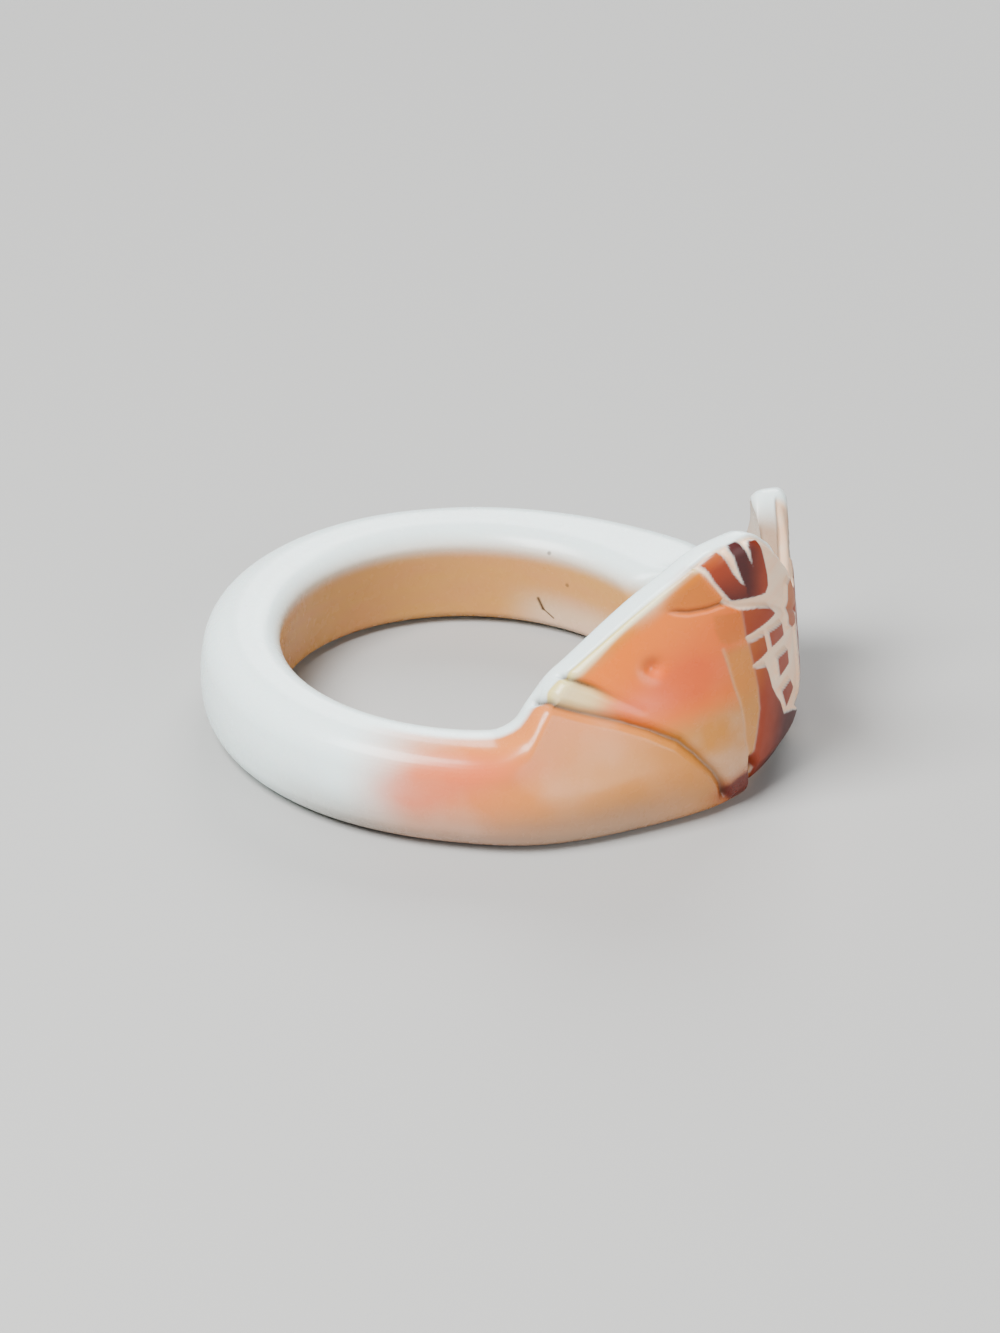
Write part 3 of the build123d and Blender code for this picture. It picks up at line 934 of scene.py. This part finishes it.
# Place, size and power of each square light, in metres and watts
LIGHTS = {
    "key_light": ((-0.12, -0.10, 0.22), 0.14, 2.10),
    "fill_light": ((0.20, -0.20, 0.10), 0.20, 0.65),
    "back_light": ((0.05, 0.25, 0.18), 0.16, 0.90),
}
SKY_COLOUR, SKY_STRENGTH = (0.90, 0.95, 1.00, 1.0), 0.20
FLOOR_COLOUR, FLOOR_ROUGHNESS, FLOOR_SIZE = (0.38, 0.38, 0.37, 1.0), 0.7, 0.6

# The photograph's view: the camera's distance in metres, its angles in degrees, and the framing,
# with the pixel of the 1000 x 1333 picture where the origin falls
DISTANCE, ELEVATION, ROLL = 0.45, 29.25, 1.61
PIXELS_PER_METRE = 22185
ORIGIN_PIXEL = (473.15, 671.3)
SENSOR_WIDTH, CLIP_START = 36, 0.01


class SHELLRING_OT_ring(bpy.types.Operator):
    """Model the ring and give it the shell material"""

    bl_idname = "shellring.ring"
    bl_label = "Carved Ring"

    def execute(self, context):
        ring = bpy.data.objects.new("carved_ring", shell_ring_mesh(context.scene.shellring_sizes))
        context.scene.collection.objects.link(ring)
        ring.data.materials.append(polished_shell(context.scene.shellring_colours))
        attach(ring, "root")
        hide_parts("shell_ring")
        return {"FINISHED"}


class SHELLRING_OT_stage(bpy.types.Operator):
    """Set up the floor, the soft lights and the camera"""

    bl_idname = "shellring.stage"
    bl_label = "Studio"

    def execute(self, context):
        pale_floor(context)
        for name, (place, size, power) in LIGHTS.items():
            soft_light(context, name, place, size, power)
        world = bpy.data.worlds.new("studio")
        world.use_nodes = True
        sky = world.node_tree.nodes["Background"].inputs
        sky["Color"].default_value = SKY_COLOUR
        sky["Strength"].default_value = SKY_STRENGTH
        context.scene.world = world
        photo_camera(context)
        return {"FINISHED"}


def pale_floor(context):
    """A plain floor that the ring lies on."""
    mesh = bmesh.new()
    height = Matrix.Translation((0, 0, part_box("shell_ring")[0][2]))
    bmesh.ops.create_grid(mesh, x_segments=1, y_segments=1, size=FLOOR_SIZE, matrix=height)
    data = bpy.data.meshes.new("floor")
    mesh.to_mesh(data)
    mesh.free()
    finish = Finish("pale_floor")
    finish.feed(finish.shader.inputs["Base Color"], FLOOR_COLOUR)
    finish.feed(finish.shader.inputs["Roughness"], FLOOR_ROUGHNESS)
    data.materials.append(finish.material)
    floor = bpy.data.objects.new("floor", data)
    context.scene.collection.objects.link(floor)


def soft_light(context, name, place, size, power):
    """A square area light that points at the ring."""
    light = bpy.data.lights.new(name, "AREA")
    light.size = size
    light.energy = power
    lamp = bpy.data.objects.new(name, light)
    lamp.location = place
    lamp.rotation_euler = (-Vector(place)).to_track_quat("-Z", "Y").to_euler()
    context.scene.collection.objects.link(lamp)


def photo_camera(context):
    """The camera at the photograph's angle, distance and framing."""
    wide, tall = IMAGE_SIZE
    elevation = math.radians(ELEVATION)
    lens = bpy.data.cameras.new("camera")
    lens.sensor_width = SENSOR_WIDTH
    lens.lens = PIXELS_PER_METRE * DISTANCE / tall * SENSOR_WIDTH
    lens.shift_x = (wide / 2 - ORIGIN_PIXEL[0]) / tall
    lens.shift_y = (ORIGIN_PIXEL[1] - tall / 2) / tall
    lens.clip_start = CLIP_START
    camera = bpy.data.objects.new("camera", lens)
    back = Vector((0, -math.cos(elevation), math.sin(elevation)))
    aim = (-back).to_track_quat("-Z", "Y").to_matrix().to_4x4()
    roll = Matrix.Rotation(math.radians(ROLL), 4, "Z")
    camera.matrix_world = Matrix.Translation(back * DISTANCE) @ aim @ roll
    context.scene.collection.objects.link(camera)
    context.scene.camera = camera


class SHELLRING_PT_panel(bpy.types.Panel):
    """Builds the ring and its studio"""

    bl_idname = "SHELLRING_PT_panel"
    bl_label = "Shell Ring"
    bl_space_type = "VIEW_3D"
    bl_region_type = "UI"
    bl_category = "Shell Ring"

    def draw(self, context):
        for group in (context.scene.shellring_sizes, context.scene.shellring_colours):
            box = self.layout.box()
            for name in group.bl_rna.properties.keys():
                if name not in {"rna_type", "name"}:
                    box.prop(group, name)
        self.layout.operator(SHELLRING_OT_ring.bl_idname)
        self.layout.operator(SHELLRING_OT_stage.bl_idname)


CLASSES = (ShellRingSizes, ShellRingColours, SHELLRING_OT_ring, SHELLRING_OT_stage, SHELLRING_PT_panel)


def register():
    for cls in CLASSES:
        bpy.utils.register_class(cls)
    bpy.types.Scene.shellring_sizes = bpy.props.PointerProperty(type=ShellRingSizes)
    bpy.types.Scene.shellring_colours = bpy.props.PointerProperty(type=ShellRingColours)


def unregister():
    del bpy.types.Scene.shellring_colours
    del bpy.types.Scene.shellring_sizes
    for cls in reversed(CLASSES):
        bpy.utils.unregister_class(cls)


def main():
    register()
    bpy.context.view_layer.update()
    bpy.ops.shellring.ring()
    bpy.ops.shellring.stage()


if __name__ == "__main__":
    main()
